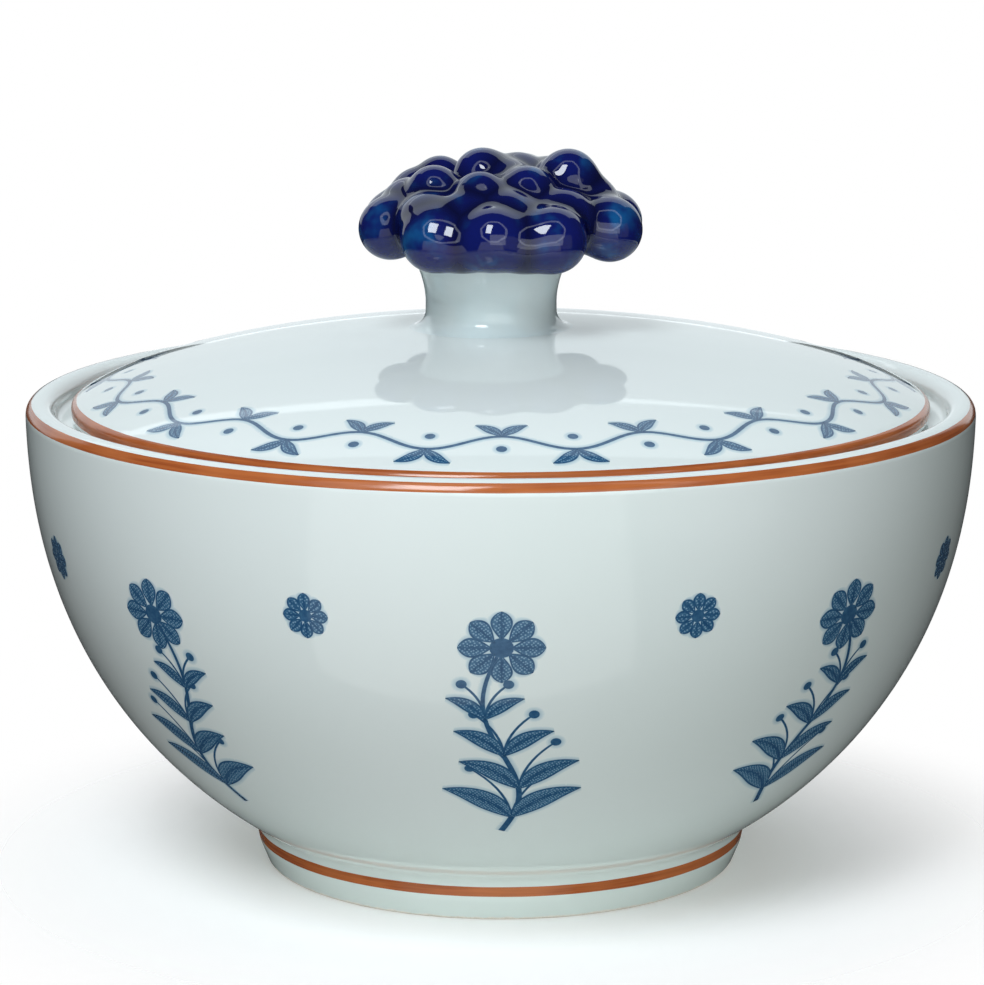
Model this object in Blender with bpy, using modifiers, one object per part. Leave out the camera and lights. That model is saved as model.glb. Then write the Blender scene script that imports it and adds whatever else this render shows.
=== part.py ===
"""Porcelain sugar bowl with a lift-off lid.

Metres, +Z up. The foot stands on Z = 0, the Z axis is the axis of every turned
piece, and the lid lifts straight up along it. The face that carries the main
decoration looks along -Y.
"""

import math

import bmesh
import bpy

MM = 0.001

# Bowl
BOWL_DIAMETER = 110.0 * MM
RIM_HEIGHT = 55.3 * MM
RIM_THICKNESS = 3.3 * MM
WALL = 3.0 * MM
FLOOR_HEIGHT = 7.2 * MM
FLOOR_THICKNESS = 3.6 * MM
POLE_DEPTH = 3.3 * MM  # how far below the foot the outer curve would meet the axis
EQUATOR_RISE = 0.7 * MM  # how far above the rim both curves would run upright

# Foot ring
FOOT_DIAMETER = 55.2 * MM
FOOT_FLARE = 1.4 * MM
FOOT_WIDTH = 2.4 * MM

# Ledge inside the rim, on which the lid rests
LEDGE_DROP = 2.7 * MM
LEDGE_WIDTH = 4.2 * MM
LEDGE_NOSE = 1.1 * MM
LEDGE_UNDERCUT = 4.6 * MM

# Lid
LID_SIDE_CLEARANCE = 2.0 * MM
LID_EDGE_THICKNESS = 2.0 * MM
LID_THICKNESS = 3.0 * MM
DOME_RISE = 7.0 * MM
SHOULDER_RISE = 1.4 * MM
COLLAR_CLEARANCE = 0.9 * MM
COLLAR_WIDTH = 2.2 * MM
COLLAR_DEPTH = 5.4 * MM

# Knob
NECK_WAIST_DIAMETER = 14.8 * MM
NECK_TOP_DIAMETER = 17.0 * MM
NECK_BASE_DIAMETER = 16.4 * MM
NECK_HEIGHT = 7.2 * MM
CORE_RADIUS = 12.2 * MM
CORE_HALF_HEIGHT = 5.2 * MM
CORE_LEVEL = 4.6 * MM

# Gap left wherever one piece rests on another
SEAT_GAP = 0.3 * MM

# Berries as (angle from the front towards +X in degrees, distance from the axis,
# height above the neck, radius), the last three in millimetres.
LOWER_BERRIES = (
    (-36, 12.8, 3.7, 3.7), (-4, 12.6, 3.9, 3.5), (28, 12.7, 3.7, 3.7), (69, 13.4, 4.2, 3.7),
    (103, 13.3, 4.2, 3.5), (134, 13.0, 4.0, 3.6), (164, 12.8, 3.9, 3.6), (194, 12.8, 3.8, 3.5),
    (223, 12.9, 3.9, 3.6), (254, 12.9, 4.2, 3.5), (286, 13.2, 4.2, 3.6),
)
MIDDLE_BERRIES = (
    (-48, 11.2, 5.3, 3.2), (-24, 9.8, 5.9, 2.8), (5, 8.8, 5.9, 2.9), (46, 10.0, 5.9, 3.1),
    (86, 10.4, 6.6, 3.2), (118, 10.2, 6.4, 3.1), (149, 10.1, 6.2, 3.0), (180, 10.0, 6.3, 3.1),
    (211, 10.2, 6.2, 3.0), (246, 10.9, 7.5, 2.6), (-86, 10.6, 6.6, 3.0),
)
UPPER_BERRIES = (
    (-65, 8.4, 8.5, 2.9), (-20, 6.9, 8.3, 2.7), (33, 5.6, 8.5, 2.9), (86, 7.8, 9.6, 3.4),
    (124, 7.4, 8.7, 2.9), (158, 7.0, 9.1, 2.6), (194, 6.8, 8.7, 2.8), (230, 9.2, 8.8, 2.7),
    (257, 2.2, 9.7, 3.3), (140, 3.2, 9.3, 2.9), (30, 1.6, 9.0, 2.6),
)

# Facets round the turned pieces
BOWL_STEPS = 48
NECK_STEPS = 28
CURVE_POINTS = 12
FILLET_POINTS = 3

# Exponents of the outer and inner curves of the bowl: radius, then height
OUTER_CURVE = (1.9, 2.29)
INNER_CURVE = (2.2, 2.9)

RIM_RADIUS = BOWL_DIAMETER / 2
MOUTH_RADIUS = RIM_RADIUS - RIM_THICKNESS
LEDGE_RADIUS = MOUTH_RADIUS - LEDGE_WIDTH
LEDGE_HEIGHT = RIM_HEIGHT - LEDGE_DROP
LID_RADIUS = MOUTH_RADIUS - LID_SIDE_CLEARANCE
LID_BOTTOM = LEDGE_HEIGHT + SEAT_GAP
LID_EDGE_HEIGHT = LID_BOTTOM + LID_EDGE_THICKNESS
COLLAR_RADIUS = LEDGE_RADIUS - COLLAR_CLEARANCE
LID_TOP = LID_EDGE_HEIGHT + DOME_RISE + SHOULDER_RISE
NECK_BOTTOM = LID_TOP + SEAT_GAP
NECK_TOP = NECK_BOTTOM + NECK_HEIGHT
CLUSTER_BOTTOM = NECK_TOP + SEAT_GAP

GLAZE_COLOUR = (0.66, 0.76, 0.76)
NECK_COLOUR = (0.56, 0.68, 0.67)
COBALT_COLOUR = (0.01, 0.015, 0.12)


def clear_scene():
    for obj in list(bpy.data.objects):
        bpy.data.objects.remove(obj, do_unlink=True)


def new_collection(name):
    collection = bpy.data.collections.new(name)
    bpy.context.scene.collection.children.link(collection)
    return collection


def glaze(name, colour, roughness):
    material = bpy.data.materials.new(name)
    material.use_nodes = True
    shader = material.node_tree.nodes["Principled BSDF"]
    shader.inputs["Base Color"].default_value = (*colour, 1.0)
    shader.inputs["Roughness"].default_value = roughness
    shader.inputs["Metallic"].default_value = 0.0
    return material


def spaced(start, end, count):
    """Evenly spaced values from start to end, both included."""
    return [start + (end - start) * i / (count - 1) for i in range(count)]


def rounded(corners):
    """A polyline through (radius, height, fillet) corners, with an arc at each filleted one."""
    points = []
    for i, (x, z, fillet) in enumerate(corners):
        if fillet == 0:
            points.append((x, z))
            continue
        before = corners[i - 1]
        after = corners[i + 1]
        to_before = math.atan2(before[1] - z, before[0] - x)
        to_after = math.atan2(after[1] - z, after[0] - x)
        turn = math.remainder(to_after - to_before, 2 * math.pi)
        shortest = min(math.dist((x, z), before[:2]), math.dist((x, z), after[:2]))
        fillet = min(fillet, 0.45 * shortest * math.tan(abs(turn) / 2))
        middle = to_before + turn / 2
        reach = fillet / math.sin(abs(turn) / 2)
        centre = (x + reach * math.cos(middle), z + reach * math.sin(middle))
        side = math.copysign(1, turn)
        first = to_before - side * math.pi / 2
        last = to_after + side * math.pi / 2
        sweep = math.remainder(last - first, 2 * math.pi)
        for angle in spaced(first, first + sweep, FILLET_POINTS + 1):
            points.append((centre[0] + fillet * math.cos(angle), centre[1] + fillet * math.sin(angle)))
    return points


def bowl_curve(radius, pole, exponents, height):
    """Radius of a bowl curve at a height: upright at the equator, level at the pole."""
    equator = RIM_HEIGHT + EQUATOR_RISE
    down = (equator - height) / (equator - pole)
    return radius * (1 - down ** exponents[1]) ** (1 / exponents[0])


def height_on_curve(radius, pole, exponents, at_radius):
    equator = RIM_HEIGHT + EQUATOR_RISE
    down = (1 - (at_radius / radius) ** exponents[0]) ** (1 / exponents[1])
    return equator - (equator - pole) * down


def cavity_profile():
    """Inner curve from the floor's centre to just below the ledge."""
    radius = RIM_RADIUS - WALL
    top = LEDGE_HEIGHT - LEDGE_NOSE - LEDGE_UNDERCUT
    end = bowl_curve(radius, FLOOR_HEIGHT, INNER_CURVE, top)
    points = []
    for angle in spaced(0, math.asin(end / radius), CURVE_POINTS):
        reach = radius * math.sin(angle)
        points.append((reach, height_on_curve(radius, FLOOR_HEIGHT, INNER_CURVE, reach)))
    return points


def outer_profile():
    """Outer curve from below the rim down to the top of the foot ring."""
    foot_top = FOOT_DIAMETER / 2 + FOOT_FLARE
    bottom = height_on_curve(RIM_RADIUS, -POLE_DEPTH, OUTER_CURVE, foot_top)
    points = []
    for height in spaced(RIM_HEIGHT - RIM_THICKNESS / 2, bottom, CURVE_POINTS):
        points.append((bowl_curve(RIM_RADIUS, -POLE_DEPTH, OUTER_CURVE, height), height))
    return points


def bowl_profile():
    """Section of the bowl: inside from the floor up, over the rim, and down the outside."""
    ledge_and_rim = rounded([
        (*cavity_profile()[-1], 0),
        (LEDGE_RADIUS, LEDGE_HEIGHT - LEDGE_NOSE, 0.5 * MM),
        (LEDGE_RADIUS, LEDGE_HEIGHT, 0.5 * MM),
        (MOUTH_RADIUS, LEDGE_HEIGHT, 0.5 * MM),
        (MOUTH_RADIUS, RIM_HEIGHT, RIM_THICKNESS * 0.48),
        (RIM_RADIUS, RIM_HEIGHT, RIM_THICKNESS * 0.48),
        (*outer_profile()[0], 0),
    ])
    foot_top_radius, foot_top_height = outer_profile()[-1]
    foot_radius = FOOT_DIAMETER / 2
    well_height = FLOOR_HEIGHT - FLOOR_THICKNESS
    foot = rounded([
        (foot_top_radius, foot_top_height, 0),
        (foot_radius + 0.8 * FOOT_FLARE, 0.55 * foot_top_height, 3.0 * MM),
        (foot_radius, 0, 0.5 * MM),
        (foot_radius - FOOT_WIDTH, 0, 0.5 * MM),
        (foot_radius - 1.6 * FOOT_WIDTH, well_height, 0.8 * MM),
        (0, well_height, 0),
    ])
    return cavity_profile()[:-1] + ledge_and_rim[:-1] + outer_profile()[:-1] + foot


def dome_height(radius):
    """Upper surface of the lid: a shallow dome that turns down at the shoulder."""
    share = radius / LID_RADIUS
    return LID_EDGE_HEIGHT + DOME_RISE * (1 - share**2.14) + SHOULDER_RISE * (1 - share**10.6)


def dome_radii():
    """Radii of the dome's points, closer together towards the shoulder."""
    return [LID_RADIUS * math.sin(angle) for angle in spaced(0, math.pi / 2, CURVE_POINTS)]


def lid_profile():
    """Section of the lid: over the dome, round its edge, round the collar and back underneath."""
    dome = [(radius, dome_height(radius)) for radius in dome_radii()]
    collar_bottom = LID_BOTTOM - COLLAR_DEPTH
    collar_inside = COLLAR_RADIUS - COLLAR_WIDTH
    underside = [
        (radius, dome_height(radius) - LID_THICKNESS)
        for radius in reversed(dome_radii())
        if radius < collar_inside - COLLAR_WIDTH
    ]
    edge_and_collar = rounded([
        (*dome[-1], 0),
        (LID_RADIUS, LID_BOTTOM, 0.9 * MM),
        (COLLAR_RADIUS, LID_BOTTOM, 0.4 * MM),
        (COLLAR_RADIUS - 0.3 * MM, collar_bottom, 0.9 * MM),
        (collar_inside, collar_bottom, 0.9 * MM),
        (collar_inside, dome_height(collar_inside) - LID_THICKNESS - 0.6 * MM, 2.0 * MM),
        (*underside[0], 0),
    ])
    return dome + edge_and_collar[1:] + underside[1:]


def neck_profile():
    """Section of the neck: a waisted spool with a small foot fillet."""
    waist = NECK_WAIST_DIAMETER / 2
    base = NECK_BASE_DIAMETER / 2
    top = NECK_TOP_DIAMETER / 2
    waist_height = NECK_BOTTOM + 0.5 * NECK_HEIGHT
    points = [(0, NECK_TOP), (top, NECK_TOP)]
    for share in spaced(0, 1, 5)[1:]:
        height = NECK_TOP + (waist_height - NECK_TOP) * share
        points.append((waist + (top - waist) * (1 - share) ** 2, height))
    for share in spaced(0, 1, 5)[1:]:
        height = waist_height + (NECK_BOTTOM - waist_height) * share
        points.append((waist + (base - waist) * share**3, height))
    return points + [(0, NECK_BOTTOM)]


def turned(name, profile, steps, material, collection):
    """A solid of revolution about Z, from a section that runs down its outer side."""
    mesh = bpy.data.meshes.new(name)
    edges = [(i, i + 1) for i in range(len(profile) - 1)]
    mesh.from_pydata([(x, 0, z) for x, z in profile], edges, [])
    obj = bpy.data.objects.new(name, mesh)
    mesh.materials.append(material)
    collection.objects.link(obj)
    screw = obj.modifiers.new("Turn", "SCREW")
    screw.axis = "Z"
    screw.steps = steps
    screw.render_steps = steps
    screw.use_merge_vertices = True
    screw.merge_threshold = 0.00001
    screw.use_smooth_shade = True
    return obj


def ball(name, centre, radius, collection, flatten=1.0, segments=12, rings=8):
    """A sphere, or a flattened one, as a mesh object at its centre."""
    mesh = bpy.data.meshes.new(name)
    shape = bmesh.new()
    bmesh.ops.create_uvsphere(shape, u_segments=segments, v_segments=rings, radius=radius)
    bmesh.ops.scale(shape, vec=(1, 1, flatten), verts=shape.verts)
    shape.to_mesh(mesh)
    shape.free()
    mesh.shade_smooth()
    obj = bpy.data.objects.new(name, mesh)
    obj.location = centre
    collection.objects.link(obj)
    return obj


def as_helper(obj):
    obj.hide_render = True
    obj.display_type = "WIRE"


def berry_centre(angle, reach, rise):
    """Where a berry sits, from its row in the tables above."""
    turn = math.radians(angle)
    x = reach * MM * math.sin(turn)
    y = -reach * MM * math.cos(turn)
    return (x, y, CLUSTER_BOTTOM + rise * MM)


def berry_cluster(material, parts, helpers):
    """The knob's grip: berries joined to a flattened core, with a flat seat for the neck."""
    core = ball(
        "knob_berries", (0, 0, CLUSTER_BOTTOM + CORE_LEVEL), CORE_RADIUS, parts,
        flatten=CORE_HALF_HEIGHT / CORE_RADIUS, segments=24, rings=10,
    )
    core.data.materials.append(material)
    for i, (angle, reach, rise, radius) in enumerate(LOWER_BERRIES + MIDDLE_BERRIES + UPPER_BERRIES):
        berry = ball(f"berry_{i:02d}", berry_centre(angle, reach, rise), radius * MM, helpers)
        berry.rotation_euler.z = math.radians(angle)
        as_helper(berry)
    union = core.modifiers.new("Join berries", "BOOLEAN")
    union.operation = "UNION"
    union.operand_type = "COLLECTION"
    union.collection = helpers
    return core


def seat_cutter(cutters):
    """Flattens the underside of the cluster where the neck meets it."""
    radius = NECK_TOP_DIAMETER / 2 + SEAT_GAP
    depth = 4 * MM
    mesh = bpy.data.meshes.new("seat_cutter")
    shape = bmesh.new()
    bmesh.ops.create_cone(
        shape, cap_ends=True, segments=NECK_STEPS, radius1=radius, radius2=radius, depth=depth
    )
    shape.to_mesh(mesh)
    shape.free()
    obj = bpy.data.objects.new("seat_cutter", mesh)
    obj.location.z = CLUSTER_BOTTOM - depth / 2
    cutters.objects.link(obj)
    as_helper(obj)
    return obj


def lid_carrier(parts):
    """Empty on the lifting axis that carries the lid and its knob."""
    carrier = bpy.data.objects.new("lid_lift", None)
    carrier.empty_display_size = 0.02
    parts.objects.link(carrier)
    return carrier


def main():
    clear_scene()
    parts = new_collection("sugar_bowl")
    cutters = new_collection("cutters")
    berries = new_collection("berries")

    white = glaze("glazed_porcelain", GLAZE_COLOUR, 0.08)
    pale = glaze("neck_glaze", NECK_COLOUR, 0.08)
    cobalt = glaze("cobalt_glaze", COBALT_COLOUR, 0.05)

    turned("bowl_body", bowl_profile(), BOWL_STEPS, white, parts)
    lid = turned("lid_shell", lid_profile(), BOWL_STEPS, white, parts)
    neck = turned("knob_neck", neck_profile(), NECK_STEPS, pale, parts)
    cluster = berry_cluster(cobalt, parts, berries)

    seat = cluster.modifiers.new("Seat on neck", "BOOLEAN")
    seat.operation = "DIFFERENCE"
    seat.object = seat_cutter(cutters)

    carrier = lid_carrier(parts)
    for piece in (lid, neck, cluster):
        piece.parent = carrier


main()
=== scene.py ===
"""Looks for the porcelain sugar bowl: glaze, berries, painted bands, blue print, light and camera.

Lengths are written in millimetres and turned into metres when a mesh is made. Angles round the
bowl run from its front (-Y) towards +X, in degrees.
"""

import math
import random

import bmesh
import bpy
import numpy as np
from mathutils import Matrix, Vector

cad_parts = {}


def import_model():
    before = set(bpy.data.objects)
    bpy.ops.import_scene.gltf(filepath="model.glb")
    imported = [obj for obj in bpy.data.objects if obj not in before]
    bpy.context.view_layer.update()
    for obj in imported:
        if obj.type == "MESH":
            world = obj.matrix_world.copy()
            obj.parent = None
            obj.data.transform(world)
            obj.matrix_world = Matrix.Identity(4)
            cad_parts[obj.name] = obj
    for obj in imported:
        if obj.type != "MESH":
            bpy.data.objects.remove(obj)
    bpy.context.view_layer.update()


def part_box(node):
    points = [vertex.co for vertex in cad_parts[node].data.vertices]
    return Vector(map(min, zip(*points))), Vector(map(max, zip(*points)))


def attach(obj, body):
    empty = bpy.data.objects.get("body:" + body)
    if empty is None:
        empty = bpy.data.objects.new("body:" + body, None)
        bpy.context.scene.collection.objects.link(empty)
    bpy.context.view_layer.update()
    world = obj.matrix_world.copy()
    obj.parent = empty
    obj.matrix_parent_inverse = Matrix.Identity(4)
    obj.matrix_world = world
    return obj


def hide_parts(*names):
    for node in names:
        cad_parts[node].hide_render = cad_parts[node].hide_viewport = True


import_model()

MM = 0.001
RING_STRIPS = 8
FLOOR_PAINTED_GLOW = 0.15  # painted glow: the floor glows most round the foot, and lights the foot
TURN_STEPS = 288

# ---------------------------------------------------------------- sizes from the CAD model


def top_of(node):
    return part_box(node)[1].z / MM


def bottom_of(node):
    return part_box(node)[0].z / MM


def radius_of(node):
    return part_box(node)[1].x / MM


RIM_RADIUS = radius_of("bowl_body")
RIM_HEIGHT = top_of("bowl_body")
LID_RADIUS = radius_of("lid_shell")
COLLAR_BOTTOM = bottom_of("lid_shell")
NECK_BOTTOM = bottom_of("knob_neck")
NECK_TOP = top_of("knob_neck")
CLUSTER_BOTTOM = bottom_of("knob_berries")

# Bowl
RIM_THICKNESS = 3.3
WALL = 3.0
FLOOR_HEIGHT = 7.2
WELL_HEIGHT = 3.6
POLE_DEPTH = 3.3
EQUATOR = RIM_HEIGHT + 0.7
OUTER_CURVE = (1.9, 2.29)
INNER_CURVE = (2.2, 2.9)
FOOT_RADIUS = 27.6
FOOT_FLARE = 1.4
FOOT_WIDTH = 2.4
MOUTH_RADIUS = RIM_RADIUS - RIM_THICKNESS
LEDGE_RADIUS = MOUTH_RADIUS - 4.2
LEDGE_HEIGHT = RIM_HEIGHT - 2.7
LEDGE_NOSE = 1.1
LEDGE_UNDERCUT = 4.6

# Lid
LID_BOTTOM = LEDGE_HEIGHT + 0.3
LID_EDGE_HEIGHT = LID_BOTTOM + 2.0
LID_THICKNESS = 3.0
DOME_RISE = 7.0
SHOULDER_RISE = 1.4
COLLAR_RADIUS = LEDGE_RADIUS - 0.9
COLLAR_WIDTH = 2.2
BORDER_RADIUS = 44.4

# Neck of the knob
WAIST_RADIUS = 7.6
NECK_TOP_RADIUS = 8.5
NECK_FILLET = 1.9
NECK_LEAN = -1.1  # the neck was stuck on a little to the left

# ---------------------------------------------------------------- small helpers


def spaced(start, end, count):
    """Evenly spaced values from start to end, both included."""
    return [start + (end - start) * i / (count - 1) for i in range(count)]


def smoothstep(low, high, value):
    share = min(1.0, max(0.0, (value - low) / (high - low)))
    return share * share * (3 - 2 * share)


def rounded(corners, arc_points=10):
    """A polyline through (radius, height, fillet) corners, with an arc at each filleted one."""
    points = []
    for i, (x, z, fillet) in enumerate(corners):
        if fillet == 0:
            points.append((x, z))
            continue
        before = corners[i - 1]
        after = corners[i + 1]
        to_before = math.atan2(before[1] - z, before[0] - x)
        to_after = math.atan2(after[1] - z, after[0] - x)
        turn = math.remainder(to_after - to_before, 2 * math.pi)
        middle = to_before + turn / 2
        reach = fillet / math.sin(abs(turn) / 2)
        centre = (x + reach * math.cos(middle), z + reach * math.sin(middle))
        side = math.copysign(1, turn)
        first = to_before - side * math.pi / 2
        sweep = math.remainder(to_after + side * math.pi / 2 - first, 2 * math.pi)
        for angle in spaced(first, first + sweep, arc_points):
            points.append((centre[0] + fillet * math.cos(angle), centre[1] + fillet * math.sin(angle)))
    return points


def refined(points, longest):
    """The polyline with points added so that no straight piece is over the longest length."""
    out = [points[0]]
    for a, b in zip(points, points[1:]):
        pieces = max(1, math.ceil(math.dist(a, b) / longest))
        for i in range(1, pieces + 1):
            out.append((a[0] + (b[0] - a[0]) * i / pieces, a[1] + (b[1] - a[1]) * i / pieces))
    return out


def in_scene(name, data):
    """A new object with this data, linked to the scene."""
    obj = bpy.data.objects.new(name, data)
    bpy.context.scene.collection.objects.link(obj)
    return obj


def make_object(name, points, faces, material):
    """A smooth-shaded mesh object from points in millimetres."""
    mesh = bpy.data.meshes.new(name)
    mesh.from_pydata((np.asarray(points, float) * MM).tolist(), [], faces)
    mesh.materials.append(material)
    mesh.shade_smooth()
    return in_scene(name, mesh)


def turned(name, profile, material, steps=TURN_STEPS):
    """A surface of revolution from a profile that runs down its outer side."""
    points = []
    faces = []
    rings = []
    for radius, height in profile:
        if radius < 1e-6:
            rings.append([len(points)] * steps)
            points.append((0, 0, height))
            continue
        rings.append([len(points) + k for k in range(steps)])
        for k in range(steps):
            angle = 2 * math.pi * k / steps
            points.append((radius * math.sin(angle), -radius * math.cos(angle), height))
    for above, below in zip(rings, rings[1:]):
        for k in range(steps):
            n = (k + 1) % steps
            corners = [above[k], below[k], below[n], above[n]]
            faces.append([c for i, c in enumerate(corners) if c not in corners[:i]])
    return make_object(name, points, faces, material)


def set_values(mesh, name, values):
    """Stores one number for each vertex, for the material to read."""
    layer = mesh.attributes.new(name, "FLOAT", "POINT")
    layer.data.foreach_set("value", np.asarray(values, np.float32))


# ---------------------------------------------------------------- profiles


def height_on_curve(radius, pole, exponents, at_radius):
    down = (1 - min(1, at_radius / radius) ** exponents[0]) ** (1 / exponents[1])
    return EQUATOR - (EQUATOR - pole) * down


def outer_radius(height):
    """Radius of the bowl's outer face at a height."""
    down = (EQUATOR - height) / (EQUATOR + POLE_DEPTH)
    return RIM_RADIUS * (1 - down ** OUTER_CURVE[1]) ** (1 / OUTER_CURVE[0])


def cavity_profile():
    radius = RIM_RADIUS - WALL
    top = LEDGE_HEIGHT - LEDGE_NOSE - LEDGE_UNDERCUT
    down = (EQUATOR - top) / (EQUATOR - FLOOR_HEIGHT)
    end = radius * (1 - down ** INNER_CURVE[1]) ** (1 / INNER_CURVE[0])
    reaches = [radius * math.sin(angle) for angle in spaced(0, math.asin(end / radius), 60)]
    return [(reach, height_on_curve(radius, FLOOR_HEIGHT, INNER_CURVE, reach)) for reach in reaches]


def outer_profile():
    bottom = height_on_curve(RIM_RADIUS, -POLE_DEPTH, OUTER_CURVE, FOOT_RADIUS + FOOT_FLARE)
    return [(outer_radius(height), height) for height in spaced(RIM_HEIGHT - 1.7, bottom, 90)]


def bowl_profile():
    start = cavity_profile()[-1]
    ledge_and_rim = rounded([
        (*start, 0),
        (LEDGE_RADIUS, LEDGE_HEIGHT - LEDGE_NOSE, 0.7),
        (LEDGE_RADIUS, LEDGE_HEIGHT, 0.4),
        (MOUTH_RADIUS, LEDGE_HEIGHT, 0.9),
        (MOUTH_RADIUS, RIM_HEIGHT, 1.6),
        (RIM_RADIUS, RIM_HEIGHT, 1.6),
        (*outer_profile()[0], 0),
    ])
    top_radius, top_height = outer_profile()[-1]
    foot = rounded([
        outer_profile()[-3] + (0,),
        (top_radius, top_height, 1.6),
        (FOOT_RADIUS + 0.75 * FOOT_FLARE, 0.5 * top_height, 3.0),
        (FOOT_RADIUS, 0, 0.45),
        (FOOT_RADIUS - FOOT_WIDTH, 0, 0.45),
        (FOOT_RADIUS - 1.6 * FOOT_WIDTH, WELL_HEIGHT, 0.8),
        (0, WELL_HEIGHT, 0),
    ])
    return refined(cavity_profile()[:-1] + ledge_and_rim[:-1] + outer_profile()[:-3] + foot, 1.6)


def dome_height(radius):
    share = min(1, radius / LID_RADIUS)
    return LID_EDGE_HEIGHT + DOME_RISE * (1 - share**2.14) + SHOULDER_RISE * (1 - share**10.6)


def lid_profile():
    radii = [LID_RADIUS * math.sin(angle) for angle in spaced(0, math.pi / 2, 90)]
    dome = [(radius, dome_height(radius)) for radius in radii if radius < LID_RADIUS - 0.9]
    inside = COLLAR_RADIUS - COLLAR_WIDTH
    underside = [(r, dome_height(r) - LID_THICKNESS) for r in reversed(radii) if r < inside - COLLAR_WIDTH]
    edge_and_collar = rounded([
        (*dome[-1], 0),
        (LID_RADIUS, LID_EDGE_HEIGHT - 0.1, 0.7),
        (LID_RADIUS, LID_BOTTOM, 0.8),
        (COLLAR_RADIUS, LID_BOTTOM, 0.6),
        (COLLAR_RADIUS - 0.3, COLLAR_BOTTOM, 1.0),
        (inside, COLLAR_BOTTOM, 1.0),
        (inside, dome_height(inside) - LID_THICKNESS - 0.6, 2.0),
        (*underside[0], 0),
    ])
    return refined(dome + edge_and_collar[1:] + underside[1:], 1.2)


def neck_profile():
    """From just inside the berries down a flare to the waist and a fillet that runs out on the lid."""
    top = NECK_TOP + 1.0
    waist = NECK_BOTTOM + 2.6
    points = [(0, top), (NECK_TOP_RADIUS + 0.8, top)]
    for share in spaced(0, 1, 20)[1:]:
        flare = (NECK_TOP_RADIUS + 0.8 - WAIST_RADIUS) * (1 - share) ** 1.8
        points.append((WAIST_RADIUS + flare, top + (waist - top) * share))
    for turn in spaced(0, math.pi / 2, 14):
        radius = WAIST_RADIUS + NECK_FILLET * (1 - math.cos(turn))
        points.append((radius, dome_height(radius) + NECK_FILLET * (1 - math.sin(turn))))
    last = WAIST_RADIUS + NECK_FILLET + 0.6
    points.append((last, dome_height(last) - 0.06))
    points.append((last - 0.1, dome_height(last) - 0.5))
    points.append((0, dome_height(last) - 0.5))
    return points


def set_on_dome(neck, lean):
    """Moves the neck sideways and keeps the run-out of its fillet on the dome."""
    for vertex in neck.data.vertices:
        x, y, z = vertex.co / MM
        before = dome_height(math.hypot(x, y))
        after = dome_height(math.hypot(x + lean, y))
        share = 1 - smoothstep(0, NECK_FILLET, z - before)
        vertex.co = Vector((x + lean, y, z + (after - before) * share)) * MM


# ---------------------------------------------------------------- knob berries

# (angle, distance from the axis, height above the neck, radius), as the CAD node has them
LOWER_BERRIES = (
    (-36, 12.8, 3.7, 3.7), (-4, 12.6, 3.9, 3.5), (28, 12.7, 3.7, 3.7), (69, 13.4, 4.2, 3.7),
    (103, 13.3, 4.2, 3.5), (134, 13.0, 4.0, 3.6), (164, 12.8, 3.9, 3.6), (194, 12.8, 3.8, 3.5),
    (223, 12.9, 3.9, 3.6), (254, 12.9, 4.2, 3.5), (286, 13.2, 4.2, 3.6),
)
MIDDLE_BERRIES = (
    (-48, 11.2, 5.3, 3.2), (-24, 9.8, 5.9, 2.8), (5, 8.8, 5.9, 2.9), (46, 10.0, 5.9, 3.1),
    (86, 10.4, 6.6, 3.2), (118, 10.2, 6.4, 3.1), (149, 10.1, 6.2, 3.0), (180, 10.0, 6.3, 3.1),
    (211, 10.2, 6.2, 3.0), (246, 10.9, 7.5, 2.6), (-86, 10.6, 6.6, 3.0),
)
UPPER_BERRIES = (
    (-65, 8.4, 8.5, 2.9), (-20, 6.9, 8.3, 2.7), (33, 5.6, 8.5, 2.9), (86, 7.8, 9.6, 3.4),
    (124, 7.4, 8.7, 2.9), (158, 7.0, 9.1, 2.6), (194, 6.8, 8.7, 2.8), (230, 9.2, 8.8, 2.7),
    (257, 2.2, 9.7, 3.3), (140, 3.2, 9.3, 2.9), (30, 1.6, 9.0, 2.6),
)
CORE = (12.6, 4.6, 4.4)  # radius, half height and level of the body under the berries
SETTLED = 0.35  # how far the cluster sank onto its neck
SOFTNESS = 0.7  # how far the glaze flows between two berries
FRONT_SPAN = 40  # lower berries this near the front run into one skirt


def berry_balls():
    """Centres and radii of the berries, in millimetres."""
    balls = []
    for angle, reach, rise, radius in LOWER_BERRIES + MIDDLE_BERRIES + UPPER_BERRIES:
        turn = math.radians(angle)
        height = CLUSTER_BOTTOM - SETTLED + rise
        balls.append((np.array((reach * math.sin(turn), -reach * math.cos(turn), height)), radius))
    return balls


def webs():
    """Smaller balls between the front berries of the lowest row, which join their undersides."""
    row = sorted(berry for berry in LOWER_BERRIES if abs(berry[0]) < FRONT_SPAN)
    balls = []
    for (a0, reach0, rise0, radius0), (a1, reach1, rise1, radius1) in zip(row, row[1:]):
        turn = math.radians((a0 + a1) / 2)
        reach = 0.5 * (reach0 + reach1) - 0.25
        radius = 0.39 * (radius0 + radius1)
        height = CLUSTER_BOTTOM - SETTLED + 0.5 * (rise0 + rise1) - 0.75
        balls.append((np.array((reach * math.sin(turn), -reach * math.cos(turn), height)), radius))
    return balls


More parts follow.
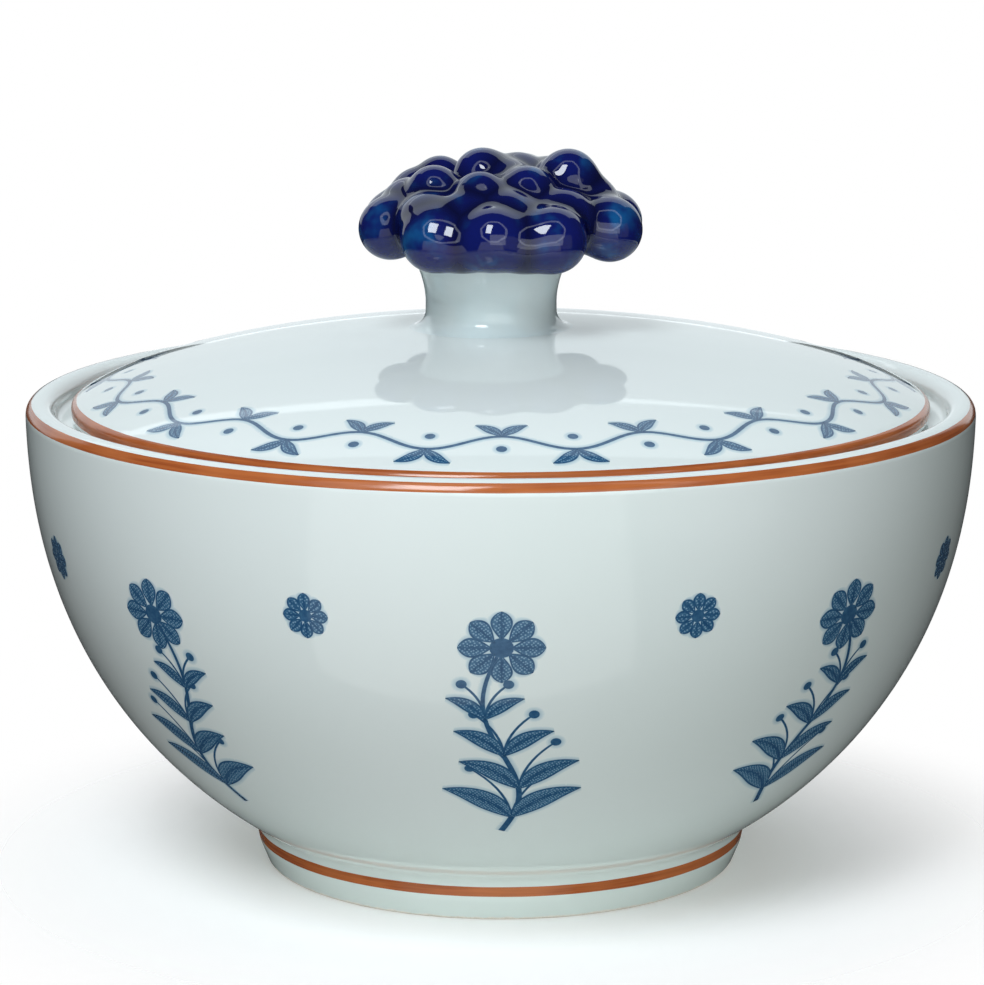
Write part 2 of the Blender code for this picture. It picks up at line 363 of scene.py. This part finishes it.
def berries(material):
    """The berries and their core flowed into one glazed cluster, by pulling a fused mesh to a soft union."""
    shape = bmesh.new()
    for centre, radius in berry_balls() + webs():
        made = bmesh.ops.create_icosphere(shape, subdivisions=3, radius=radius * MM)
        bmesh.ops.translate(shape, vec=Vector(centre * MM), verts=made["verts"])
    core = bmesh.ops.create_icosphere(shape, subdivisions=4, radius=CORE[0] * MM)
    bmesh.ops.scale(shape, vec=(1, 1, CORE[1] / CORE[0]), verts=core["verts"])
    bmesh.ops.translate(shape, vec=(0, 0, (CLUSTER_BOTTOM - SETTLED + CORE[2]) * MM), verts=core["verts"])
    mesh = bpy.data.meshes.new("berry_cluster")
    shape.to_mesh(mesh)
    shape.free()
    obj = in_scene("berry_cluster", mesh)
    remesh = obj.modifiers.new("Fuse", "REMESH")
    remesh.mode = "VOXEL"
    remesh.voxel_size = 0.26 * MM
    smooth = obj.modifiers.new("Even out", "SMOOTH")
    smooth.iterations = 6
    graph = bpy.context.evaluated_depsgraph_get()
    fused = bpy.data.meshes.new_from_object(obj.evaluated_get(graph))
    obj.modifiers.clear()
    obj.data = fused
    points = np.empty(len(fused.vertices) * 3)
    fused.vertices.foreach_get("co", points)
    points = points.reshape(-1, 3) / MM
    for _ in range(12):
        depth, slope = cluster_field(points)
        points -= 0.8 * np.clip(depth, -0.6, 0.6)[:, None] * slope
    fused.vertices.foreach_set("co", (points * MM).ravel())
    fused.materials.clear()
    fused.materials.append(material)
    fused.shade_smooth()
    set_values(fused, "crest", crest_of(points))
    return obj


def cluster_field(points):
    """Depth below a soft union of the berries and the core, in millimetres, and its direction."""
    depths, slopes = [], []
    for centre, radius in berry_balls() + webs():
        away = points - centre
        reach = np.linalg.norm(away, axis=1)
        depths.append(reach - radius)
        slopes.append(away / reach[:, None])
    flat = np.array([1, 1, CORE[0] / CORE[1]])
    away = (points - np.array([0, 0, CLUSTER_BOTTOM - SETTLED + CORE[2]])) * flat
    reach = np.linalg.norm(away, axis=1)
    slope = away * flat / reach[:, None]
    steep = np.linalg.norm(slope, axis=1)
    depths.append((reach - CORE[0]) / steep)
    slopes.append(slope / steep[:, None])
    depths, slopes = np.stack(depths), np.stack(slopes)
    nearest = depths.min(axis=0)
    shares = np.exp(-(depths - nearest) / SOFTNESS)
    total = shares.sum(axis=0)
    depth = nearest - SOFTNESS * np.log(total)
    slope = (shares[:, :, None] * slopes).sum(axis=0) / total[:, None]
    return depth, slope / np.linalg.norm(slope, axis=1)[:, None]


def crest_of(points):
    """How far each point stands from the creases: 0 in a crease, 1 on the crown of a berry."""
    depth = np.stack([np.linalg.norm(points - c, axis=1) - r for c, r in berry_balls()])
    nearest = np.sort(depth, axis=0)
    return np.clip((nearest[1] - nearest[0]) / 2.4, 0, 1)


# ---------------------------------------------------------------- print on a turned surface

EDGE = 0.07  # width over which the ink of a line fades out
HALO = 0.55  # width of the faint bleed round every motif
BLEED = 0.16  # its ink
OUTLINE = 0.2
MIDRIB = 0.1  # half its width at the base of a leaf
LINE_INK = 0.97
LEAF_COLUMNS = 4
SHEET_RADIUS = 48  # radius at which the transfer sheet's dots keep their size


def leaf_tone(side):
    """Ink of a leaf from its rib (0) to its outline (1)."""
    return 0.62 + 0.24 * (1 - side) ** 2


class Surface:
    """A turned face, addressed by angle (radians) and by length along its profile."""

    def __init__(self, profile):
        self.radii = np.array([p[0] for p in profile])
        self.heights = np.array([p[1] for p in profile])
        steps = np.hypot(np.diff(self.radii), np.diff(self.heights))
        self.lengths = np.concatenate([[0], np.cumsum(steps)])

    def radius(self, along):
        return float(np.interp(along, self.lengths, self.radii))

    def along_at_height(self, height):
        return float(np.interp(-height, -self.heights, self.lengths))

    def height(self, along):
        return float(np.interp(along, self.lengths, self.heights))

    def nearest(self, radius, height):
        """Length along the profile at its point nearest to the given one."""
        alongs = np.linspace(0, self.lengths[-1], 8000)
        radii = np.interp(alongs, self.lengths, self.radii)
        heights = np.interp(alongs, self.lengths, self.heights)
        return float(alongs[np.argmin((radii - radius) ** 2 + (heights - height) ** 2)])

    def point_and_normal(self, angle, along, lift, step=0.4):
        a = max(0.0, along - step)
        b = min(self.lengths[-1], along + step)
        dr, dz = self.radius(b) - self.radius(a), self.height(b) - self.height(a)
        size = math.hypot(dr, dz)
        out, up = -dz / size, dr / size
        radius = self.radius(along) + out * lift
        point = (radius * math.sin(angle), -radius * math.cos(angle), self.height(along) + up * lift)
        return point, (out * math.sin(angle), -out * math.cos(angle), up)


class Place:
    """A motif's own plane, laid on the surface: x to the right and y up from its anchor."""

    def __init__(self, surface, angle, along, mirror=False):
        self.surface = surface
        self.angle = math.radians(angle)
        self.along = along
        self.side = -1 if mirror else 1

    def __call__(self, x, y):
        middle = self.surface.radius(self.along - y / 2)
        return (self.angle + self.side * x / middle, self.along - y)


class Print:
    """Ink on a surface, gathered as soft-edged strips of faces."""

    def __init__(self, surface):
        self.surface = surface
        self.points = []
        self.normals = []
        self.ink = []
        self.dots = []
        self.sheet = []
        self.faces = []
        self.layer = 0

    def grid(self, rows, lift, closed=False):
        """Rows of (angle, along, ink, dots), joined to each other by quads."""
        start = len(self.points)
        across = len(rows[0])
        for row in rows:
            for angle, along, ink, dots in row:
                point, normal = self.surface.point_and_normal(angle, along, lift if ink else 0)
                self.points.append(point)
                self.normals.append(normal)
                self.ink.append(ink)
                self.dots.append(dots)
                self.sheet.append((angle * SHEET_RADIUS * MM, along * MM, 0))
        for i in range(len(rows) - 1):
            for j in range(across if closed else across - 1):
                a = start + i * across + j
                b = start + i * across + (j + 1) % across
                self.faces.append((a, b, b + across, a + across))

    def swept(self, path, section, lift):
        """Sweeps a section, a function of the share of the path, along points on the surface."""
        rows = []
        for i, (angle, along) in enumerate(path):
            before = path[max(0, i - 1)]
            after = path[min(len(path) - 1, i + 1)]
            radius = self.surface.radius(along)
            tx, ty = (after[0] - before[0]) * radius, after[1] - before[1]
            size = math.hypot(tx, ty) or 1.0
            nx, ny = -ty / size, tx / size
            share = i / (len(path) - 1)
            rows.append([
                (angle + nx * off / radius, along + ny * off, ink, dots)
                for off, ink, dots in section(share)
            ])
        self.grid(rows, lift)

    def next_lifts(self):
        """Heights above the glaze for the next bleed and the next ink, each over the last."""
        self.layer += 1
        return 0.005 + 0.0001 * self.layer, 0.016 + 0.0004 * self.layer

    def halo(self, path, width, lift):
        def section(share):
            w = width(share)
            return [(-w - HALO, 0, 0), (-w, BLEED, 0), (0, BLEED, 0), (w, BLEED, 0), (w + HALO, 0, 0)]

        self.swept(path, section, lift)

    def stroke(self, path, width, ink=0.95, halo=True):
        """A line whose half width is a function of the share of its length."""
        low, high = self.next_lifts()
        if halo:
            self.halo(path, width, low)

        def section(share):
            w = width(share)
            return [(-w - EDGE, 0, 0), (-w, ink, 0), (0, ink, 0), (w, ink, 0), (w + EDGE, 0, 0)]

        self.swept(path, section, high)

    def blade(self, path, width):
        """A leaf or petal: an outline, a midrib, and a dotted tone that fades from the rib outwards."""
        low, high = self.next_lifts()
        self.halo(path, width, low)

        def section(share):
            w = width(share)
            inner = w - min(OUTLINE, 0.5 * w)
            rib = min(MIDRIB * (1 - share) + 0.02, 0.3 * inner + 0.001)
            first = rib + 0.06
            right = [(0, LINE_INK, 0), (rib, LINE_INK, 0), (first, leaf_tone(0.1), 1)]
            for side in spaced(0, 1, LEAF_COLUMNS + 1)[1:]:
                right.append((first + (inner - first) * side, leaf_tone(side), 1))
            right += [(inner + 0.04, LINE_INK, 0), (w, LINE_INK, 0), (w + EDGE, 0, 0)]
            left = [(-off, ink, dots) for off, ink, dots in reversed(right[1:])]
            return left + right

        self.swept(path, section, high)

    def disc(self, place, x, y, radius, ink=0.9, points=18):
        """A filled spot."""
        low, high = self.next_lifts()
        bleed = ((0, BLEED), (radius, BLEED), (radius + HALO, 0))
        spot = ((0, ink), (radius, ink), (radius + EDGE, 0))
        for lift, rings in ((low, bleed), (high, spot)):
            rows = []
            for reach, value in rings:
                row = []
                for k in range(points):
                    turn = 2 * math.pi * k / points
                    at = place(x + reach * math.cos(turn), y + reach * math.sin(turn))
                    row.append((*at, value, 0))
                rows.append(row[:: -place.side])
            self.grid(rows, lift, closed=True)

    def build(self, name, material):
        obj = make_object(name, self.points, self.faces, material)
        mesh = obj.data
        set_values(mesh, "ink", self.ink)
        set_values(mesh, "dots", self.dots)
        sheet = mesh.attributes.new("sheet", "FLOAT_VECTOR", "POINT")
        sheet.data.foreach_set("vector", np.array(self.sheet, float).ravel())
        mesh.normals_split_custom_set_from_vertices(self.normals)
        return obj


# ---------------------------------------------------------------- motifs


def bent(place, start, end, bend=0.0, points=18):
    """A bowed path between two points of a motif; bend is its sagitta over its length."""
    (x0, y0), (x1, y1) = start, end
    nx, ny = -(y1 - y0), x1 - x0
    path = []
    for t in spaced(0, 1, points):
        bow = 4 * bend * t * (1 - t)
        path.append(place(x0 + (x1 - x0) * t + nx * bow, y0 + (y1 - y0) * t + ny * bow))
    return path


def tapered(thick, thin):
    return lambda share: thick + (thin - thick) * share


def pointed(width, peak, sharp):
    """Half width of a leaf that is widest at the peak and comes to a point at both ends."""
    power = math.log(0.5) / math.log(peak)
    return lambda share: width * max(0.0, math.sin(math.pi * share**power)) ** sharp


def leaf(ink, place, start, end, width, bend):
    ink.blade(bent(place, start, end, bend), pointed(width, 0.45, 0.9))


def daisy(ink, x, y, place, reach=4.2, petals=8):
    """A plain open flower: even petals round a disc."""
    for i in range(petals):
        turn = 2 * math.pi * i / petals
        start, end = [(x + r * math.sin(turn), y + r * math.cos(turn)) for r in (0.22 * reach, reach)]
        ink.blade(bent(place, start, end), pointed(0.27 * reach, 0.6, 0.7))
    ink.disc(place, x, y, 0.27 * reach)


SPRIGS = 8
SPRIG_FOOT = 14.0  # height at which a sprig's stem starts
SPRIG_LENGTH = 27.0
SPRIG_SWAY = 1.8
LEAF_PAIRS = 4


def stem_point(share):
    """A point of a sprig's stem, which sways once to each side on its way up."""
    return SPRIG_SWAY * math.sin(2 * math.pi * share), SPRIG_LENGTH * share


def sprig(ink, place):
    """An upright sprig: pairs of leaves that shorten upwards, a bud beside each, and a daisy on top."""
    ink.stroke([place(*stem_point(share)) for share in spaced(0, 1, 40)], tapered(0.32, 0.16))
    for pair in range(LEAF_PAIRS):
        x, y = stem_point(0.1 + 0.19 * pair)
        length = 8.4 - 1.3 * pair
        for side in (-1, 1):
            end = (x + side * 0.84 * length, y + 0.6 * length)
            leaf(ink, place, (x, y), end, 0.17 * length, 0.12 * side)
            tip = (x + side * 0.5 * length, y + length)
            ink.stroke(bent(place, (x, y + 0.4), tip, 0.1 * side, 10), tapered(0.12, 0.08), halo=False)
            ink.disc(place, *tip, 0.5)
    daisy(ink, *stem_point(1), place)


def bowl_decoration(ink, surface):
    """Even sprigs round the bowl, with a small daisy high up between each two."""
    for i in range(SPRIGS):
        ink.layer = 0
        angle = 360 * i / SPRIGS
        sprig(ink, Place(surface, angle, surface.along_at_height(SPRIG_FOOT), mirror=i % 2 == 1))
        between = Place(surface, angle + 180 / SPRIGS, surface.along_at_height(40))
        daisy(ink, 0, 0, between, reach=2.6)


VINE_WAVES = 18
VINE_SWING = 1.4


def lid_border(ink, surface):
    """A running vine inside the lid's band: a wavy stem, leaves on every crest, a dot in every bend."""
    along = surface.nearest(BORDER_RADIUS, dome_height(BORDER_RADIUS))
    turns = spaced(0, 2 * math.pi, 24 * VINE_WAVES + 1)
    stem = [(turn, along - VINE_SWING * math.cos(VINE_WAVES * turn)) for turn in turns]
    ink.stroke(stem, tapered(0.2, 0.2))
    for i in range(2 * VINE_WAVES):
        ink.layer = 1
        side = 1 if i % 2 == 0 else -1
        place = Place(surface, 180 * i / VINE_WAVES, along)
        for lean in (-1, 1):
            start, end = (0, VINE_SWING * side), (2.9 * lean, 3.9 * side)
            leaf(ink, place, start, end, 0.72, 0.1 * lean * side)
        ink.disc(place, 0, -1.2 * side, 0.55, points=14)


# ---------------------------------------------------------------- painted bands


def band(name, surface, start, end, material, lift=0.03, wobble=0.05):
    """A painted line round the piece, between two lengths along its profile, with a soft relief."""
    columns = 8
    waves = []
    for k in (3, 7, 13, 29, 47, 71):
        phase = rng.uniform(0, 6.28)
        waves.append((k, phase, rng.uniform(0.3, 1) / (1 + 0.05 * k)))
    points, normals, faces = [], [], []
    for i in range(TURN_STEPS * 2):
        angle = math.pi * i / TURN_STEPS
        shift = []
        for edge in (0, 2):
            shift.append(sum(size * math.sin(k * angle + phase + edge) for k, phase, size in waves))
        first, last = start + wobble * shift[0] / 3, end + wobble * shift[1] / 3
        for j in range(columns + 1):
            share = j / columns
            rise = lift * min(1.0, 4 * share * (1 - share) * 1.6)
            point, normal = surface.point_and_normal(angle, first + (last - first) * share, rise, 0.12)
            points.append(point)
            normals.append(normal)
    across = columns + 1
    for i in range(TURN_STEPS * 2):
        n = (i + 1) % (TURN_STEPS * 2)
        for j in range(columns):
            faces.append((i * across + j, i * across + j + 1, n * across + j + 1, n * across + j))
    obj = make_object(name, points, faces, material)
    obj.data.normals_split_custom_set_from_vertices(normals)
    return obj


# ---------------------------------------------------------------- materials


class Nodes:
    """A material's node tree, with short ways to add what the materials here use."""

    def __init__(self, name):
        self.material = bpy.data.materials.new(name)
        self.material.use_nodes = True
        self.tree = self.material.node_tree
        self.shader = self.tree.nodes["Principled BSDF"]
        self.output = self.tree.nodes["Material Output"]
        self.place = self.add("ShaderNodeTexCoord").outputs["Object"]

    def add(self, kind, **settings):
        made = self.tree.nodes.new(kind)
        for name, value in settings.items():
            setattr(made, name, value)
        return made

    def put(self, socket, value):
        if isinstance(value, bpy.types.NodeSocket):
            self.tree.links.new(value, socket)
        elif isinstance(value, tuple) and len(value) == 3 and len(socket.default_value) == 4:
            socket.default_value = (*value, 1)
        else:
            socket.default_value = value

    def set(self, name, value):
        self.put(self.shader.inputs[name], value)

    def height(self):
        """Height above the foot, in metres."""
        split = self.add("ShaderNodeSeparateXYZ")
        self.put(split.inputs[0], self.place)
        return split.outputs["Z"]

    def noise(self, scale, detail=2.0, roughness=0.5, where=None):
        made = self.add("ShaderNodeTexNoise")
        self.put(made.inputs["Vector"], where or self.place)
        made.inputs["Scale"].default_value = scale
        made.inputs["Detail"].default_value = detail
        made.inputs["Roughness"].default_value = roughness
        return made.outputs["Fac"]

    def ramp(self, value, low, high, out_low=0.0, out_high=1.0):
        """Maps low..high of the value to out_low..out_high, smoothly, and holds it outside."""
        made = self.add("ShaderNodeMapRange", interpolation_type="SMOOTHSTEP")
        for socket, given in zip(made.inputs, (value, low, high, out_low, out_high)):
            self.put(socket, given)
        return made.outputs["Result"]

    def math(self, operation, *values):
        made = self.add("ShaderNodeMath", operation=operation)
        for socket, given in zip(made.inputs, values):
            self.put(socket, given)
        return made.outputs[0]

    def mix(self, share, first, second, blend="MIX"):
        made = self.add("ShaderNodeMix", data_type="RGBA", blend_type=blend)
        self.put(made.inputs["Factor"], share)
        self.put(made.inputs[6], first)
        self.put(made.inputs[7], second)
        return made.outputs[2]

    def value(self, name):
        return self.add("ShaderNodeAttribute", attribute_name=name).outputs["Fac"]

    def bump(self, height, distance, strength=1.0):
        made = self.add("ShaderNodeBump")
        made.inputs["Strength"].default_value = strength
        made.inputs["Distance"].default_value = distance * MM
        self.put(made.inputs["Height"], height)
        self.put(self.shader.inputs["Normal"], made.outputs[0])


GLAZE = (0.76, 0.81, 0.80)
GLAZE_GREEN = (0.69, 0.775, 0.745)
GLAZE_LOW = (0.60, 0.70, 0.64)
INK = (0.024, 0.088, 0.205)


def glaze_colour(nodes):
    """Cool white glaze: broad drifts of tint, finer clouds, and a greener, darker tone low on the bowl."""
    drift = nodes.ramp(nodes.noise(16, 1.5), 0.35, 0.7)
    colour = nodes.mix(nodes.math("MULTIPLY", drift, 0.45), GLAZE, GLAZE_GREEN)
    cloud = nodes.ramp(nodes.noise(140, 3.0, 0.6), 0.55, 0.8, 0.0, 0.1)
    colour = nodes.mix(cloud, colour, GLAZE_GREEN)
    # greener and darker towards the foot, set by height alone
    low = nodes.ramp(nodes.height(), 0.004, 0.02, 0.4, 0.0)
    return nodes.mix(low, colour, GLAZE_LOW)


def glaze_gloss(nodes):
    """The glaze's surface: glossy, with slow waves and faint orange peel."""
    nodes.shader.inputs["IOR"].default_value = 1.52
    rough = nodes.ramp(nodes.noise(420, 2.0), 0.3, 0.75, 0.035, 0.075)
    nodes.set("Roughness", rough)
    waves = nodes.math("ADD", nodes.noise(45, 1.0), nodes.math("MULTIPLY", nodes.noise(700, 1.0), 0.03))
    nodes.bump(waves, 0.14, 0.35)


def glaze_material(name):
    nodes = Nodes(name)
    nodes.set("Base Color", glaze_colour(nodes))
    glaze_gloss(nodes)
    return nodes.material


def bowl_material():
    """The glaze, with the foot ring's standing edge left bare and matt."""
    nodes = Nodes("bowl_glaze")
    colour = glaze_colour(nodes)
    glaze_gloss(nodes)
    ragged = nodes.math("MULTIPLY", nodes.math("SUBTRACT", nodes.noise(900, 3.0), 0.5), 0.0004)
    bare = nodes.ramp(nodes.math("ADD", nodes.height(), ragged), 0.00025, 0.0004, 1.0, 0.0)
    grain = nodes.ramp(nodes.noise(2600, 4.0, 0.7), 0.3, 0.75)
    biscuit = nodes.mix(grain, (0.66, 0.62, 0.55), (0.78, 0.75, 0.68))
    nodes.set("Base Color", nodes.mix(bare, colour, biscuit))
    rough = nodes.mix(bare, nodes.shader.inputs["Roughness"].links[0].from_socket, (0.75, 0.75, 0.75))
    nodes.set("Roughness", rough)
    return nodes.material


def neck_material():
    """The glaze, thicker and a little more aqua in soft clouds over the neck."""
    nodes = Nodes("neck_glaze")
    cloud = nodes.ramp(nodes.noise(160, 2.0), 0.3, 0.75, 0.35, 0.8)
    colour = nodes.mix(cloud, glaze_colour(nodes), (0.70, 0.83, 0.85))
    nodes.set("Base Color", colour)
    glaze_gloss(nodes)
    return nodes.material


def print_material():
    """Blue transfer print in the glaze: full lines, and tones broken into dots like an engraving.

    Dark tones are a blue mesh round pale dots; light tones are blue dots on the white.
    """
    nodes = Nodes("blue_print")
    density = nodes.value("ink")
    sheet = nodes.add("ShaderNodeAttribute", attribute_name="sheet")
    slanted = nodes.add("ShaderNodeVectorRotate", rotation_type="Z_AXIS")
    nodes.put(slanted.inputs["Vector"], sheet.outputs["Vector"])
    slanted.inputs["Angle"].default_value = math.radians(38)
    cells = nodes.add("ShaderNodeTexVoronoi", voronoi_dimensions="2D")
    nodes.put(cells.inputs["Vector"], slanted.outputs[0])
    cells.inputs["Scale"].default_value = 1 / (0.31 * MM)
    cells.inputs["Randomness"].default_value = 0.42
    distance = cells.outputs["Distance"]
    mesh = nodes.math("MULTIPLY", density, nodes.ramp(distance, 0.14, 0.44, 0.52, 1.16))
    reach = nodes.math("SUBTRACT", nodes.math("MULTIPLY", density, 1.15), distance)
    dots = nodes.ramp(reach, -0.12, 0.12, 0.06, 0.85)
    dark = nodes.ramp(density, 0.4, 0.62)
    toned = nodes.math("ADD", nodes.math("MULTIPLY", dark, mesh),
                       nodes.math("MULTIPLY", nodes.math("SUBTRACT", 1.0, dark), dots))
    uneven = nodes.ramp(nodes.noise(1500, 3.0, 0.65), 0.25, 0.75, 0.84, 1.08)
    plain = nodes.math("MULTIPLY", density, uneven)
    change = nodes.math("MULTIPLY", nodes.math("SUBTRACT", toned, plain), nodes.value("dots"))
    stain = nodes.add("ShaderNodeGamma")
    nodes.put(stain.inputs["Color"], INK)
    nodes.put(stain.inputs["Gamma"], nodes.math("MAXIMUM", nodes.math("ADD", plain, change), 0.0))
    nodes.set("Base Color", nodes.mix(1.0, glaze_colour(nodes), stain.outputs[0], "MULTIPLY"))
    glaze_gloss(nodes)
    return nodes.material


def enamel_material():
    """Iron-red enamel brushed on in a turn of the wheel, thin at its edges, streaked along the line."""
    nodes = Nodes("iron_red_enamel")
    split = nodes.add("ShaderNodeSeparateXYZ")
    nodes.put(split.inputs[0], nodes.place)
    turn = nodes.math("ARCTAN2", split.outputs["X"], split.outputs["Y"])
    along = nodes.add("ShaderNodeCombineXYZ")
    nodes.put(along.inputs["X"], nodes.math("MULTIPLY", turn, 3.0))
    nodes.put(along.inputs["Y"], nodes.math("MULTIPLY", split.outputs["Z"], 2600.0))
    streaks = nodes.ramp(nodes.noise(1.0, 3.0, 0.6, where=along.outputs[0]), 0.3, 0.7)
    patches = nodes.ramp(nodes.noise(120, 2.0), 0.35, 0.7, 0.0, 0.5)
    colour = nodes.mix(streaks, (0.46, 0.125, 0.035), (0.31, 0.07, 0.018))
    nodes.set("Base Color", nodes.mix(patches, colour, (0.55, 0.18, 0.06)))
    rough = nodes.ramp(streaks, 0.0, 1.0, 0.1, 0.22)
    nodes.set("Roughness", rough)
    nodes.bump(nodes.noise(1.0, 2.0, 0.6, where=along.outputs[0]), 0.03, 0.5)
    return nodes.material


def cobalt_material():
    """Deep cobalt glaze, teal where it is thin on the berries' crowns, near black in the creases."""
    nodes = Nodes("cobalt_glaze")
    crest = nodes.value("crest")
    deep = nodes.mix(crest, (0.002, 0.003, 0.03), (0.004, 0.008, 0.10))
    cloud = nodes.ramp(nodes.noise(170, 3.0, 0.6), 0.5, 0.72)
    thin = nodes.math("MULTIPLY", cloud, nodes.ramp(crest, 0.25, 1.0, 0.0, 0.8))
    colour = nodes.mix(thin, deep, (0.006, 0.09, 0.25))
    violet = nodes.ramp(nodes.noise(90, 2.0), 0.55, 0.75, 0.0, 0.6)
    nodes.set("Base Color", nodes.mix(violet, colour, (0.016, 0.006, 0.12)))
    nodes.shader.inputs["IOR"].default_value = 1.55
    nodes.set("Roughness", nodes.ramp(nodes.noise(500, 2.0), 0.3, 0.75, 0.03, 0.07))
    nodes.bump(nodes.noise(260, 2.0), 0.12, 0.4)
    return nodes.material


def floor_material():
    """A white floor under the bowl that fades into the white surround, with a painted glow round the foot.
    """
    nodes = Nodes("pale_floor")
    tone = nodes.ramp(nodes.noise(3, 2.0), 0.2, 0.8)
    nodes.set("Base Color", nodes.mix(tone, (0.9, 0.9, 0.9), (0.93, 0.93, 0.93)))
    nodes.shader.inputs["Roughness"].default_value = 0.9
    reach = nodes.add("ShaderNodeVectorMath", operation="LENGTH")
    nodes.put(reach.inputs[0], nodes.place)
    nodes.shader.inputs["Emission Color"].default_value = (1, 1, 0.94, 1)
    # painted glow: emission strongest round the foot, standing in for light on the foot and lower bowl
    nodes.set("Emission Strength", nodes.ramp(reach.outputs["Value"], 0.035, 0.085, FLOOR_PAINTED_GLOW, 0.05))
    nodes.set("Alpha", nodes.ramp(reach.outputs["Value"], 0.029, 0.075, 1.0, 0.0))
    return nodes.material


# ---------------------------------------------------------------- studio


def camera():
    data = bpy.data.cameras.new("camera")
    data.lens = 136.67
    data.sensor_width = 36
    data.clip_start = 0.01
    obj = in_scene("camera", data)
    obj.location = (-0.0010, -0.42966, 0.12776)
    obj.rotation_euler = (math.radians(78.891), 0, 0)
    bpy.context.scene.camera = obj


def aimed(azimuth, elevation):
    """Direction from the bowl, with azimuth 0 towards the camera and +90 to its right."""
    turn, rise = math.radians(azimuth), math.radians(elevation)
    return (math.sin(turn) * math.cos(rise), -math.cos(turn) * math.cos(rise), math.sin(rise))


def softbox(name, towards, distance, size, power, colour=(1, 1, 1)):
    """A rectangular lamp out in a direction from the bowl's middle, facing it, hidden from the camera."""
    data = bpy.data.lights.new(name, "AREA")
    data.shape = "RECTANGLE"
    data.size, data.size_y = size
    data.energy = power
    data.color = colour
    obj = in_scene(name, data)
    middle = Vector((0, 0, 0.04))
    direction = Vector(towards).normalized()
    obj.location = middle + direction * distance
    obj.rotation_euler = direction.to_track_quat("Z", "Y").to_euler()
    obj.visible_camera = False
    return obj


def ring_strip(index, power, colour):
    """One strip of the ring lamp over the camera, seen as a ring of light in the round berries."""
    out = Vector(aimed(0, 42))
    across = Vector((1, 0, 0))
    up = out.cross(across)
    turn = 2 * math.pi * index / RING_STRIPS
    radial = across * math.cos(turn) + up * math.sin(turn)
    towards = out + radial * math.tan(math.radians(36))
    share = power / RING_STRIPS
    strip = softbox(f"ring_{index}", towards, 0.9 * towards.length, (0.11, 0.56), share, colour)
    back = towards.normalized()
    long_side = out.cross(radial).normalized()
    strip.rotation_euler = Matrix((long_side.cross(back), long_side, back)).transposed().to_euler()


def floor():
    shape = bmesh.new()
    bmesh.ops.create_circle(shape, cap_ends=True, segments=96, radius=0.6)
    mesh = bpy.data.meshes.new("floor")
    shape.to_mesh(mesh)
    shape.free()
    mesh.materials.append(floor_material())
    obj = in_scene("floor", mesh)
    obj.visible_glossy = False


def world():
    made = bpy.data.worlds.new("studio")
    bpy.context.scene.world = made
    made.use_nodes = True
    tree = made.node_tree
    path = tree.nodes.new("ShaderNodeLightPath")
    mix = tree.nodes.new("ShaderNodeMixShader")
    seen = tree.nodes.new("ShaderNodeBackground")
    around = tree.nodes["Background"]
    seen.inputs["Color"].default_value = (1, 1, 1, 1)
    around.inputs["Color"].default_value = (0.03, 0.032, 0.033, 1)
    tree.links.new(path.outputs["Is Camera Ray"], mix.inputs["Fac"])
    tree.links.new(around.outputs[0], mix.inputs[1])
    tree.links.new(seen.outputs[0], mix.inputs[2])
    tree.links.new(mix.outputs[0], tree.nodes["World Output"].inputs["Surface"])


def studio():
    bpy.context.scene.view_settings.view_transform = "Standard"
    softbox("key", aimed(-20, 50), 1.1, (0.32, 0.6), 8.8, (0.90, 0.96, 1))
    for i in range(RING_STRIPS):
        ring_strip(i, 2.6, (0.87, 0.93, 1))
    softbox("front", aimed(12, 12), 1.2, (1.0, 0.8), 3.6, (0.95, 1, 1))
    softbox("fill_card", aimed(45, 3), 0.9, (0.7, 0.7), 0.4, (0.97, 1, 0.96))
    softbox("low_card", aimed(-8, -26), 1.2, (1.7, 1.4), 5.4, (0.97, 1, 0.96))
    softbox("top_back", aimed(180, 47), 1.0, (1.3, 0.5), 2.0, (0.87, 0.97, 1))
    softbox("back", aimed(-172, 18), 1.2, (2.1, 0.72), 4.4, (0.9, 0.97, 1))
    softbox("back_low", aimed(180, -8), 1.2, (0.34, 0.42), 0.4, (0.9, 0.97, 1))
    world()
    floor()
    camera()


# ---------------------------------------------------------------- the object

rng = random.Random(7)

bowl_glaze = bowl_material()
lid_glaze = glaze_material("lid_glaze")
neck_glaze = neck_material()
blue = print_material()
enamel = enamel_material()
cobalt = cobalt_material()

bowl = turned("bowl_shell", bowl_profile(), bowl_glaze)
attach(bowl, "bowl")
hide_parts("bowl_body")

bowl_edge = Surface(bowl_profile())
rim_band = band("rim_band", bowl_edge, bowl_edge.nearest(54.35, 55.1), bowl_edge.nearest(55, 54.1), enamel)
foot_middle = bowl_edge.nearest(28.7, 3.6)
foot_band = band("foot_band", bowl_edge, foot_middle - 0.6, foot_middle + 0.6, enamel)
bowl_print = Print(Surface(outer_profile()))
bowl_decoration(bowl_print, bowl_print.surface)
bowl_flowers = bowl_print.build("bowl_print", blue)
for piece in (rim_band, foot_band, bowl_flowers):
    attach(piece, "bowl")

lid = turned("lid_dome", lid_profile(), lid_glaze)
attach(lid, "lid")
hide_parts("lid_shell")

lid_edge = Surface(lid_profile())
band_top = lid_edge.nearest(49.15, dome_height(49.15))
lid_band = band("lid_band", lid_edge, band_top, lid_edge.nearest(49.7, 53.75), enamel)
lid_print = Print(Surface(lid_profile()[:88]))
lid_border(lid_print, lid_print.surface)
lid_scrolls = lid_print.build("lid_print", blue)
for piece in (lid_band, lid_scrolls):
    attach(piece, "lid")

neck = turned("knob_stem", neck_profile(), neck_glaze, steps=128)
set_on_dome(neck, NECK_LEAN)
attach(neck, "lid")
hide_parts("knob_neck")

cluster = berries(cobalt)
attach(cluster, "lid")
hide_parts("knob_berries")

studio()
